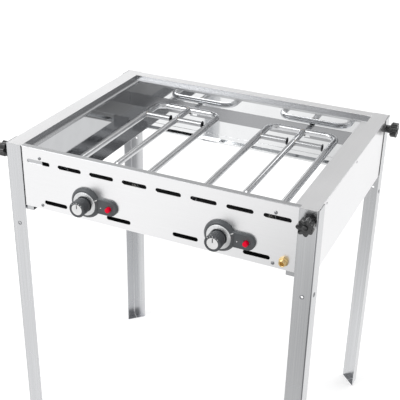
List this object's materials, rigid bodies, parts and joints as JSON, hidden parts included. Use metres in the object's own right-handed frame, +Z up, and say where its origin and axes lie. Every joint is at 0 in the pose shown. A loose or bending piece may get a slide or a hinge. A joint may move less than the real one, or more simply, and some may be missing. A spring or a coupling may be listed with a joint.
{
  "type": "gas grill",
  "caption": "Free-standing stainless steel gas grill frame on angle legs, with an open top, fork-shaped tube burners, control knobs and push igniters.",
  "frame": {"origin": "on the floor, under the centre of the body", "axes": "+X to the right as seen from the controls, +Y to the back, +Z up"},
  "size_m": [0.797, 0.6405, 0.825],
  "materials": {
    "brushed_stainless": "brushed stainless steel sheet",
    "leg_stainless": "smooth bright stainless steel angle",
    "polished_stainless": "polished stainless steel sheet",
    "burner_tube": "polished stainless steel tube",
    "fastener_steel": "zinc plated or stainless steel",
    "black_plastic": "satin black moulded plastic",
    "grey_plastic": "satin dark grey moulded plastic",
    "bright_ring": "bright turned metal",
    "red_plastic": "glossy red moulded plastic",
    "white_ceramic": "glazed white ceramic",
    "brass": "turned brass",
    "copper": "copper tip with a brass nut"
  },
  "bodies": {
    "frame": {"front_panel": "brushed_stainless", "left_panel": "brushed_stainless", "right_panel": "brushed_stainless", "rear_panel": "brushed_stainless", "left_lining": "polished_stainless", "right_lining": "polished_stainless", "rear_lining": "polished_stainless", "front_shield": "polished_stainless", "left_bottom_plate": "polished_stainless", "right_bottom_plate": "polished_stainless", "rear_bottom_strip": "polished_stainless", "leg_front_left": "leg_stainless", "leg_front_right": "leg_stainless", "leg_rear_right": "leg_stainless", "leg_rear_left": "leg_stainless", "weld_nuts": "fastener_steel", "left_bezel": "grey_plastic", "right_bezel": "grey_plastic", "left_trim_ring": "bright_ring", "right_trim_ring": "bright_ring", "left_igniter": "white_ceramic", "right_igniter": "white_ceramic", "left_gas_valve": "brass", "right_gas_valve": "brass", "left_injector": "brass", "right_injector": "brass", "left_air_shutter": "burner_tube", "right_air_shutter": "burner_tube", "manifold_pipe": "burner_tube", "gas_inlet": "brass", "inlet_locknut": "brass", "left_burner": "burner_tube", "right_burner": "burner_tube", "left_cross_tubes": "burner_tube", "right_cross_tubes": "burner_tube", "left_burner_bracket": "polished_stainless", "right_burner_bracket": "polished_stainless", "left_electrode": "white_ceramic", "right_electrode": "white_ceramic", "left_thermocouple": "copper", "right_thermocouple": "copper", "front_screws": "fastener_steel", "side_rivets": "fastener_steel"},
    "star_front_left": {"star_knob_front_left": "black_plastic", "star_stud_front_left": "fastener_steel"},
    "star_front_right": {"star_knob_front_right": "black_plastic", "star_stud_front_right": "fastener_steel"},
    "star_rear_right": {"star_knob_rear_right": "black_plastic", "star_stud_rear_right": "fastener_steel"},
    "star_rear_left": {"star_knob_rear_left": "black_plastic", "star_stud_rear_left": "fastener_steel"},
    "left_push": {"left_push_collar": "fastener_steel"},
    "left_control": {"left_knob": "grey_plastic", "left_spindle": "fastener_steel"},
    "left_ignition": {"left_button": "red_plastic"},
    "right_push": {"right_push_collar": "fastener_steel"},
    "right_control": {"right_knob": "grey_plastic", "right_spindle": "fastener_steel"},
    "right_ignition": {"right_button": "red_plastic"}
  },
  "joints": [
    {"name": "star_front_left_turn", "type": "hinge", "parent": "frame", "child": "star_front_left", "pos_m": [-0.37, -0.266, 0.797], "axis": [-1, 0, 0], "continuous": true},
    {"name": "star_front_right_turn", "type": "hinge", "parent": "frame", "child": "star_front_right", "pos_m": [0.35, -0.286, 0.797], "axis": [0, -1, 0], "continuous": true},
    {"name": "star_rear_right_turn", "type": "hinge", "parent": "frame", "child": "star_rear_right", "pos_m": [0.37, 0.266, 0.797], "axis": [1, 0, 0], "continuous": true},
    {"name": "star_rear_left_turn", "type": "hinge", "parent": "frame", "child": "star_rear_left", "pos_m": [-0.35, 0.286, 0.797], "axis": [0, 1, 0], "continuous": true},
    {"name": "left_knob_push", "type": "slide", "parent": "frame", "child": "left_push", "axis": [0, 1, 0], "range_m": [0, 0.003], "stiffness_N_per_m": 1200, "springref_m": -0.003},
    {"name": "left_knob_turn", "type": "hinge", "parent": "left_push", "child": "left_control", "pos_m": [-0.1628, -0.2845, 0.7205], "axis": [0, -1, 0], "range_deg": [0, 180]},
    {"name": "left_button_push", "type": "slide", "parent": "frame", "child": "left_ignition", "axis": [0, 1, 0], "range_m": [0, 0.005], "stiffness_N_per_m": 400, "springref_m": -0.003},
    {"name": "right_knob_push", "type": "slide", "parent": "frame", "child": "right_push", "axis": [0, 1, 0], "range_m": [0, 0.003], "stiffness_N_per_m": 1200, "springref_m": -0.003},
    {"name": "right_knob_turn", "type": "hinge", "parent": "right_push", "child": "right_control", "pos_m": [0.1628, -0.2845, 0.7205], "axis": [0, -1, 0], "range_deg": [0, 180]},
    {"name": "right_button_push", "type": "slide", "parent": "frame", "child": "right_ignition", "axis": [0, 1, 0], "range_m": [0, 0.005], "stiffness_N_per_m": 400, "springref_m": -0.003}
  ]
}
